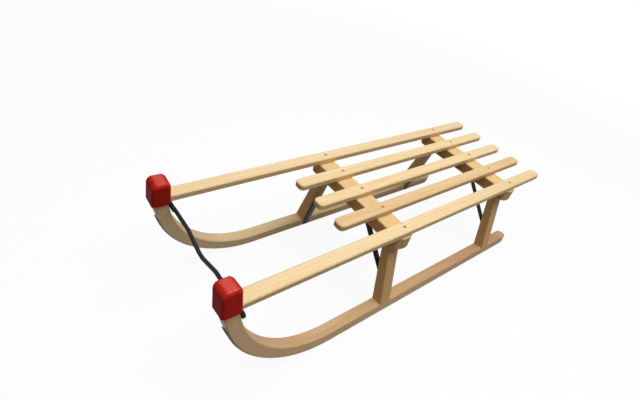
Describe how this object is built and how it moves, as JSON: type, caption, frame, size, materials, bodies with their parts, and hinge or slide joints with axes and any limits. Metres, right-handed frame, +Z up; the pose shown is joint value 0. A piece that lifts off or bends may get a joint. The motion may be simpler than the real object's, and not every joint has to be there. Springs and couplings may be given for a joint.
{
  "type": "slatted wooden snow sled",
  "caption": "Wooden snow sled with bent runners rising into capped horns, splayed legs, strap braces, a slatted seat and a steel pull bar",
  "frame": {"origin": "on the ground at the middle of the overall box", "axes": "+X forward to the horns, +Y the sled's left side, +Z up"},
  "size_m": [1.004, 0.3568, 0.2835],
  "materials": {
    "beech": "clear satin varnish",
    "black_steel": "black paint",
    "iron": "rolled, worn by use",
    "red_plastic": "moulded, semi-gloss"
  },
  "bodies": {
    "root": {"slat_outer_left": "beech", "slat_inner_left": "beech", "slat_centre": "beech", "slat_inner_right": "beech", "slat_outer_right": "beech", "crossbar_front": "beech", "brace_front": "black_steel", "leg_front_left": "beech", "leg_front_right": "beech", "crossbar_rear": "beech", "brace_rear": "black_steel", "leg_rear_left": "beech", "leg_rear_right": "beech", "runner_left": "beech", "runner_iron_left": "iron", "horn_cap_left": "red_plastic", "runner_right": "beech", "runner_iron_right": "iron", "horn_cap_right": "red_plastic", "pull_bar": "black_steel"}
  },
  "joints": []
}
